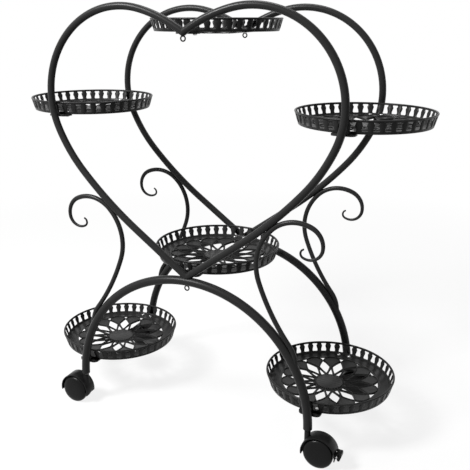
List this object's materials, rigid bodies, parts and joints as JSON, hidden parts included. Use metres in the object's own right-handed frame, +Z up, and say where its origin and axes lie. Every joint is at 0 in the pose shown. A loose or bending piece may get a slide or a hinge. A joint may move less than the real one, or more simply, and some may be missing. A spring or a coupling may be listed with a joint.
{
  "type": "rolling plant stand",
  "caption": "Wheeled steel plant stand: twin heart-shaped tube frames on arched legs with scrolls carry round pierced trays for pots.",
  "frame": {"origin": "on the floor under the middle of the stand", "axes": "+X to the right, +Y to the back, +Z up"},
  "size_m": [0.796, 0.2886, 0.7847],
  "materials": {
    "black_coat": "satin black powder coat on steel",
    "black_plastic": "satin black moulded nylon",
    "caster_wheel": "satin black moulded nylon wheel",
    "plated_steel": "zinc-plated steel"
  },
  "bodies": {
    "frame": {"centre_tray_floor": "black_coat", "centre_tray_gallery": "black_coat", "front_arch_ring": "black_coat", "front_arch_tube": "black_coat", "front_heart_left_tube": "black_coat", "front_heart_right_tube": "black_coat", "front_left_caster_stem": "plated_steel", "front_left_leg_plug": "black_plastic", "front_left_scroll": "black_coat", "front_notch_ring": "black_coat", "front_right_caster_stem": "plated_steel", "front_right_leg_plug": "black_plastic", "front_right_scroll": "black_coat", "front_tray_brackets": "black_coat", "lower_left_tray_floor": "black_coat", "lower_left_tray_gallery": "black_coat", "lower_right_tray_floor": "black_coat", "lower_right_tray_gallery": "black_coat", "rear_arch_ring": "black_coat", "rear_arch_tube": "black_coat", "rear_heart_left_tube": "black_coat", "rear_heart_right_tube": "black_coat", "rear_left_caster_stem": "plated_steel", "rear_left_leg_plug": "black_plastic", "rear_left_scroll": "black_coat", "rear_notch_ring": "black_coat", "rear_right_caster_stem": "plated_steel", "rear_right_leg_plug": "black_plastic", "rear_right_scroll": "black_coat", "rear_tray_brackets": "black_coat", "top_tray_floor": "black_coat", "top_tray_gallery": "black_coat", "tray_nuts": "plated_steel", "tray_screws": "plated_steel", "upper_left_tray_floor": "black_coat", "upper_left_tray_gallery": "black_coat", "upper_right_tray_floor": "black_coat", "upper_right_tray_gallery": "black_coat"},
    "front_left_caster": {"front_left_caster_hood": "black_plastic", "front_left_caster_axle": "plated_steel"},
    "front_left_front_wheel": {"front_left_caster_front_wheel": "caster_wheel"},
    "front_left_rear_wheel": {"front_left_caster_rear_wheel": "caster_wheel"},
    "front_right_caster": {"front_right_caster_hood": "black_plastic", "front_right_caster_axle": "plated_steel", "front_right_brake_pin": "plated_steel"},
    "front_right_front_wheel": {"front_right_caster_front_wheel": "caster_wheel"},
    "front_right_rear_wheel": {"front_right_caster_rear_wheel": "caster_wheel"},
    "front_right_brake": {"front_right_brake_lever": "black_plastic"},
    "rear_left_caster": {"rear_left_caster_hood": "black_plastic", "rear_left_caster_axle": "plated_steel", "rear_left_brake_pin": "plated_steel"},
    "rear_left_front_wheel": {"rear_left_caster_front_wheel": "caster_wheel"},
    "rear_left_rear_wheel": {"rear_left_caster_rear_wheel": "caster_wheel"},
    "rear_left_brake": {"rear_left_brake_lever": "black_plastic"},
    "rear_right_caster": {"rear_right_caster_hood": "black_plastic", "rear_right_caster_axle": "plated_steel"},
    "rear_right_front_wheel": {"rear_right_caster_front_wheel": "caster_wheel"},
    "rear_right_rear_wheel": {"rear_right_caster_rear_wheel": "caster_wheel"}
  },
  "joints": [
    {"name": "front_left_swivel", "type": "hinge", "parent": "frame", "child": "front_left_caster", "pos_m": [-0.234, -0.1283, 0.05], "axis": [0, 0, 1], "continuous": true},
    {"name": "front_left_front_wheel_roll", "type": "hinge", "parent": "front_left_caster", "child": "front_left_front_wheel", "pos_m": [-0.2563, -0.1283, 0.027], "axis": [0, 1, 0], "continuous": true},
    {"name": "front_left_rear_wheel_roll", "type": "hinge", "parent": "front_left_caster", "child": "front_left_rear_wheel", "pos_m": [-0.2563, -0.1283, 0.027], "axis": [0, 1, 0], "continuous": true},
    {"name": "front_right_swivel", "type": "hinge", "parent": "frame", "child": "front_right_caster", "pos_m": [0.234, -0.1283, 0.05], "axis": [0, 0, 1], "continuous": true},
    {"name": "front_right_front_wheel_roll", "type": "hinge", "parent": "front_right_caster", "child": "front_right_front_wheel", "pos_m": [0.2563, -0.1283, 0.027], "axis": [0, 1, 0], "continuous": true},
    {"name": "front_right_rear_wheel_roll", "type": "hinge", "parent": "front_right_caster", "child": "front_right_rear_wheel", "pos_m": [0.2563, -0.1283, 0.027], "axis": [0, 1, 0], "continuous": true},
    {"name": "front_right_brake_press", "type": "hinge", "parent": "front_right_caster", "child": "front_right_brake", "pos_m": [0.2898, -0.1283, 0.03], "axis": [0, 1, 0], "range_deg": [0, 20]},
    {"name": "rear_left_swivel", "type": "hinge", "parent": "frame", "child": "rear_left_caster", "pos_m": [-0.234, 0.1283, 0.05], "axis": [0, 0, 1], "continuous": true},
    {"name": "rear_left_front_wheel_roll", "type": "hinge", "parent": "rear_left_caster", "child": "rear_left_front_wheel", "pos_m": [-0.2563, 0.1283, 0.027], "axis": [0, 1, 0], "continuous": true},
    {"name": "rear_left_rear_wheel_roll", "type": "hinge", "parent": "rear_left_caster", "child": "rear_left_rear_wheel", "pos_m": [-0.2563, 0.1283, 0.027], "axis": [0, 1, 0], "continuous": true},
    {"name": "rear_left_brake_press", "type": "hinge", "parent": "rear_left_caster", "child": "rear_left_brake", "pos_m": [-0.2898, 0.1283, 0.03], "axis": [0, -1, 0], "range_deg": [0, 20]},
    {"name": "rear_right_swivel", "type": "hinge", "parent": "frame", "child": "rear_right_caster", "pos_m": [0.234, 0.1283, 0.05], "axis": [0, 0, 1], "continuous": true},
    {"name": "rear_right_front_wheel_roll", "type": "hinge", "parent": "rear_right_caster", "child": "rear_right_front_wheel", "pos_m": [0.2563, 0.1283, 0.027], "axis": [0, 1, 0], "continuous": true},
    {"name": "rear_right_rear_wheel_roll", "type": "hinge", "parent": "rear_right_caster", "child": "rear_right_rear_wheel", "pos_m": [0.2563, 0.1283, 0.027], "axis": [0, 1, 0], "continuous": true}
  ]
}
